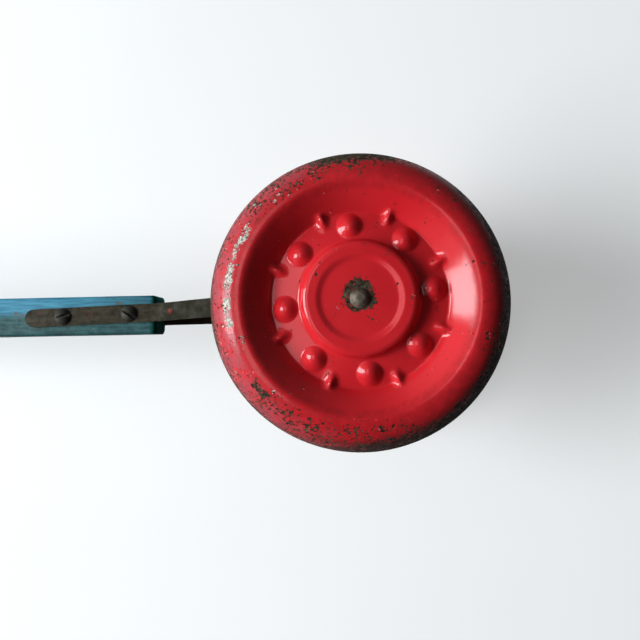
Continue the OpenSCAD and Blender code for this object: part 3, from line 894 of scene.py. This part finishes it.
def handle():
    """The wooden stick: a worn rectangular section, eased at the fork and rounded at the far end."""
    near_r, far_r, edge_r = 2.0, 7.0, 1.5
    half_w, half_h = STICK_W / 2, STICK_H / 2
    rows = []
    for a in np.linspace(math.pi / 2, 0, 7):
        inset = near_r * (1 - math.cos(a))
        rows.append((-near_r * (1 - math.sin(a)), inset))
    rows += [(x, 0.0) for x in -np.arange(near_r + 3, STICK_L - far_r - 2, 5.0)]
    for a in np.linspace(0, math.pi / 2, 10):
        rows.append((-STICK_L + far_r * (1 - math.sin(a)), far_r * (1 - math.cos(a))))
    points = []
    for x, inset in rows:
        r = max(edge_r, min(inset + edge_r, half_w - inset - 0.2))
        ring = section(half_w - inset - 0.04, half_h - inset - 0.04, min(r, half_w - inset - 0.1))
        wobble = np.array([noise.noise(Vector((x * 0.03, y * 0.05, z * 0.05))) for y, z in ring])
        ring = ring * (1 - 0.010 * np.abs(wobble))[:, None]
        points.append([(x, y, z) for y, z in ring])
    points = np.array(points)
    turn = np.array(Matrix.Rotation(-STICK_SLOPE, 3, "Y"))
    placed = (points @ turn.T + [STICK_X, 0, STICK_Z]) * MM
    obj = grid_object("handle_painted_stick", placed)
    bm = bmesh.new()
    bm.from_mesh(obj.data)
    bmesh.ops.holes_fill(bm, edges=[e for e in bm.edges if e.is_boundary])
    bmesh.ops.recalc_face_normals(bm, faces=bm.faces)
    bm.to_mesh(obj.data)
    bm.free()
    smooth_by_angle(obj, 40)
    settle(obj, LEVEL, HANDLE_PAINT, FORK, "handle_stick")
    return obj


# ---------- drum ----------


def drum_line():
    """Outer surface of half the drum, belt to hub, with a rolled bead at the belt."""
    w = np.linspace(0, math.pi / 2, 8)
    bead = [[DRUM_R - 0.9 + 0.85 * math.cos(a), 0.05 + 1.1 * math.sin(a)] for a in w]
    return np.array(bead + [
        [DRUM_R - 0.9, BELT_HALF],
        [DRUM_R - 2.4, BELT_HALF + 1.8],
        [DRUM_END_R + 1.4, DRUM_END_Y - 1.2],
        [DRUM_END_R, DRUM_END_Y],
        [DRUM_HUB_R, DRUM_END_Y],
    ])


def mouth_cutter():
    """A solid rod up through the drum's mouth."""
    rod_r, rod_l = MOUTH_R + 0.1, 50
    line = np.array([[0.001, 0], [rod_r, 0], [rod_r, rod_l], [0.001, rod_l]]) + [0, DRUM_END_R]
    obj = grid_object("mouth_cutter", revolved(line, 96, LEFT))
    weld(obj, 0.01 * MM)
    obj.data.transform(Matrix.Rotation(math.pi / 2, 4, "X"))
    return obj


def drum_shell(side):
    line = resampled(softened(drum_line(), 0.35), 0.8)
    profile = shell_profile(line, DRUM_SHEET * (1 if normals_2d(line)[5][0] > 0 else -1), 2.0)
    obj = grid_object(f"drum_{SIDE_NAMES[side]}_enamelled_shell", revolved(profile, 160, side), True)
    weld(obj, 0.001 * MM)
    cut(obj, mouth_cutter())
    smooth_by_angle(obj, 40)
    worn_at_random(obj, lambda co: smoothstep(38, 42, np.hypot(co[:, 0], co[:, 2])))
    settle(obj, UPRIGHT, BLUE, ROLLING, f"drum_{SIDE_NAMES[side]}_shell")
    return obj


def mouth_collar():
    """The drum's mouth: a short tube with a rolled lip, its foot trimmed to the drum."""
    inner_r, lip_r = MOUTH_R - DRUM_SHEET, 1.15
    w = np.linspace(-0.8, 1.3 * math.pi, 18)
    mid_r = MOUTH_R - DRUM_SHEET / 2
    lip = [[mid_r + lip_r * math.cos(a), MOUTH_REACH - lip_r + lip_r * math.sin(a)] for a in w]
    line = np.array([[MOUTH_R, DRUM_END_R], *lip, [inner_r, DRUM_END_R]])
    outside = resampled(np.array([[MOUTH_R, DRUM_END_R], [MOUTH_R, MOUTH_REACH - 2.2]]), 1.5)
    inside = resampled(np.array([[inner_r, MOUTH_REACH - 2.2], [inner_r, DRUM_END_R]]), 1.5)
    line = np.concatenate([outside, np.array(lip), inside])
    obj = grid_object("drum_rolled_mouth", revolved(line, 128, LEFT), True)
    weld(obj, 0.001 * MM)
    obj.data.transform(Matrix.Rotation(math.pi / 2, 4, "X"))
    body = np.array([
        [0.001, -DRUM_END_Y], [DRUM_END_R - 2, -DRUM_END_Y], [DRUM_R - 2.6, -BELT_HALF],
        [DRUM_R - 2.6, BELT_HALF], [DRUM_END_R - 2, DRUM_END_Y], [0.001, DRUM_END_Y],
    ])
    trim = grid_object("trim", revolved(body, 128, LEFT))
    weld(trim, 0.01 * MM)
    cut(obj, trim)
    smooth_by_angle(obj, 40)
    worn_at_random(obj, lambda co: smoothstep(52, 57, co[:, 2]))
    settle(obj, UPRIGHT, BLUE, ROLLING, "drum_mouth_collar")
    return obj


def carried_over():
    """CAD pieces whose shape is right: real materials and eased edges."""
    endings = ("_washer", "_sleeve", "_hub", "_rivets", "_pin", "_paddles")
    for name, obj in frame["nodes"].items():
        if not name.endswith(endings):
            continue
        obj.data.materials.clear()
        obj.data.materials.append(FITTING_STEEL)
        ease_edges(obj, 0.12 * MM, 40)


for side in (RIGHT, LEFT):
    wheel_face(side)
    wheel_back(side)
    strap(side)
    drum_shell(side)
strap_screws(RIGHT, (-33, 20))
strap_screws(LEFT, (10, 75))
axle()
handle()
mouth_collar()
carried_over()


# ---------- stage ----------

CAMERA_PLACE = LEVEL @ (Vector((-9.2, -270.5, -20.7)) * MM)
CAMERA_AHEAD = (LEVEL.to_3x3() @ Vector((-0.0379, 0.998, 0.0518))).normalized()


def photo_camera():
    """Camera in front of the right wheel, upright in the fork's level frame."""
    right = CAMERA_AHEAD.cross(LEVEL.to_3x3() @ Vector((0, 0, 1))).normalized()
    up = right.cross(CAMERA_AHEAD)
    turn = Matrix((right, up, -CAMERA_AHEAD)).transposed().to_4x4()
    data = bpy.data.cameras.new("photo_camera")
    data.lens = 28.0
    data.sensor_width = 36.0
    data.clip_start = 0.01
    cam = bpy.data.objects.new("photo_camera", data)
    bpy.context.scene.collection.objects.link(cam)
    cam.matrix_world = Matrix.Translation(CAMERA_PLACE) @ turn
    bpy.context.scene.camera = cam


def seen_from_photo_camera(m):
    """1 where the ray being shaded has come from the photo camera's place, else 0."""
    geometry = m.add("ShaderNodeNewGeometry")
    path = m.add("ShaderNodeLightPath")
    back = m.add("ShaderNodeVectorMath", operation="SCALE")
    m.put(back.inputs[0], geometry.outputs["Incoming"])
    m.put(back.inputs["Scale"], path.outputs["Ray Length"])
    start = m.add("ShaderNodeVectorMath", operation="ADD")
    m.put(start.inputs[0], geometry.outputs["Position"])
    m.put(start.inputs[1], back.outputs[0])
    gap = m.add("ShaderNodeVectorMath", operation="DISTANCE")
    m.put(gap.inputs[0], start.outputs[0])
    gap.inputs[1].default_value = CAMERA_PLACE
    near = m.math("LESS_THAN", gap.outputs["Value"], 0.02)
    return m.math("MULTIPLY", near, path.outputs["Is Camera Ray"])


def stage_surface(obj, name, shown):
    """Matt pale surface, seen only where shown() gives 1."""
    m = Nodes(name)
    matt = m.add("ShaderNodeBsdfPrincipled")
    shade = m.ramp(m.noise(3.0, 3), 0.3, 0.7)
    m.put(matt.inputs["Base Color"], m.mix(shade, (0.60, 0.605, 0.605), (0.575, 0.58, 0.58)))
    m.put(matt.inputs["Emission Color"], (0.97, 1.0, 1.0))
    matt.inputs["Emission Strength"].default_value = 0.385
    matt.inputs["Roughness"].default_value = 0.9
    clear = m.add("ShaderNodeBsdfTransparent")
    mix = m.add("ShaderNodeMixShader")
    m.put(mix.inputs[0], shown(m))
    m.put(mix.inputs[1], clear.outputs[0])
    m.put(mix.inputs[2], matt.outputs[0])
    out = m.add("ShaderNodeOutputMaterial")
    m.put(out.inputs["Surface"], mix.outputs[0])
    obj.data.materials.append(m.material)


def studio_floor():
    """A pale floor that curves up all round, far out. The photo camera looks past it."""
    flat_r, bend_r, wall_h = 2.2, 1.0, 1.6
    line = [[0.0001, 0], [flat_r * 0.3, 0], [flat_r * 0.7, 0]]
    for w in np.linspace(0, math.pi / 2, 24):
        line.append([flat_r + bend_r * math.sin(w), bend_r * (1 - math.cos(w))])
    line.append([flat_r + bend_r, bend_r + wall_h])
    turn = np.linspace(0, 2 * math.pi, 96, endpoint=False)
    rows = [[(r * math.cos(a), r * math.sin(a), z) for a in turn] for r, z in line]
    obj = grid_object("studio_floor", np.array(rows), flip=True)
    obj.visible_shadow = False
    obj.visible_diffuse = False
    obj.visible_glossy = False

    def shown(m):
        from_above = m.math("SUBTRACT", 1.0, m.add("ShaderNodeNewGeometry").outputs["Backfacing"])
        elsewhere = m.math("SUBTRACT", 1.0, seen_from_photo_camera(m))
        return m.math("MULTIPLY", from_above, elsewhere)

    stage_surface(obj, "pale_floor", shown)


def resting_surface():
    """The pale surface that the toy lies against on its left wheel, for the photo camera alone."""
    half, y = 1.5, 0.0585
    corners = [(-half, y, -half), (half, y, -half), (half, y, half), (-half, y, half)]
    points = np.array([corners, corners])
    # The second row closes the middle
    points[1] *= [1e-6, 1, 1e-6]
    obj = grid_object("resting_surface", points, smooth=False)
    obj.visible_shadow = False
    obj.visible_diffuse = False
    obj.visible_glossy = False
    stage_surface(obj, "pale_backdrop", seen_from_photo_camera)


def area_light(name, place, target, size, power, color=(1, 1, 1)):
    data = bpy.data.lights.new(name, "AREA")
    data.shape = "RECTANGLE"
    data.size, data.size_y = size
    data.energy = power
    data.color = color
    obj = bpy.data.objects.new(name, data)
    bpy.context.scene.collection.objects.link(obj)
    obj.location = place
    obj.rotation_euler = (Vector(target) - Vector(place)).to_track_quat("-Z", "Y").to_euler()
    obj.visible_camera = False
    return obj


def studio_world():
    """Soft room light: bright on the left and beyond the toy, dim on the right."""
    world = bpy.data.worlds.new("studio_world")
    world.use_nodes = True
    m = Nodes.__new__(Nodes)
    m.tree = world.node_tree
    m.tree.nodes.clear()
    way = m.split(m.add("ShaderNodeTexCoord").outputs["Generated"])
    left = m.ramp(way["X"], -0.25, -0.75)
    above = m.ramp(way["Z"], -0.1, 0.95)
    beyond = m.ramp(way["Y"], 0.05, 0.75)
    strength = m.math("ADD", 0.03, m.math("MULTIPLY", left, 0.42))
    strength = m.math("ADD", strength, m.math("MULTIPLY", above, 0.06))
    strength = m.math("ADD", strength, m.math("MULTIPLY", beyond, 0.25))
    light = m.add("ShaderNodeBackground")
    m.put(light.inputs["Color"], (0.93, 0.97, 1.0))
    m.put(light.inputs["Strength"], strength)
    m.put(m.add("ShaderNodeOutputWorld").inputs["Surface"], light.outputs[0])
    bpy.context.scene.world = world


def lights():
    """A window and a softer light low on the left, a card that gives a sheen, and one light behind."""
    middle = AXLE + Vector((0, -0.05, 0))

    def from_way(name, way, distance, size, power, color):
        place = middle + distance * Vector(way).normalized()
        return area_light(name, place, middle, size, power, color)

    from_way("window_light", (-0.875, -0.43, -0.06), 2.0, (1.1, 0.95), 34, (0.90, 0.96, 1.0))
    fill = from_way("side_fill", (-0.82, -0.515, -0.24), 2.0, (0.45, 1.4), 33, (0.97, 0.985, 1.0))
    fill.visible_glossy = False
    sheen = from_way("sheen_card", (-0.38, -0.925, 0.0), 1.2, (0.42, 1.0), 2.1, (0.94, 0.97, 1.0))
    sheen.visible_diffuse = False
    back = from_way("back_light", (-0.08, 0.80, 0.55), 2.4, (1.8, 1.8), 75, (1.0, 0.99, 0.97))
    back.visible_glossy = False
    studio_world()
    bpy.context.scene.view_settings.view_transform = "Standard"


studio_floor()
resting_surface()
lights()
photo_camera()
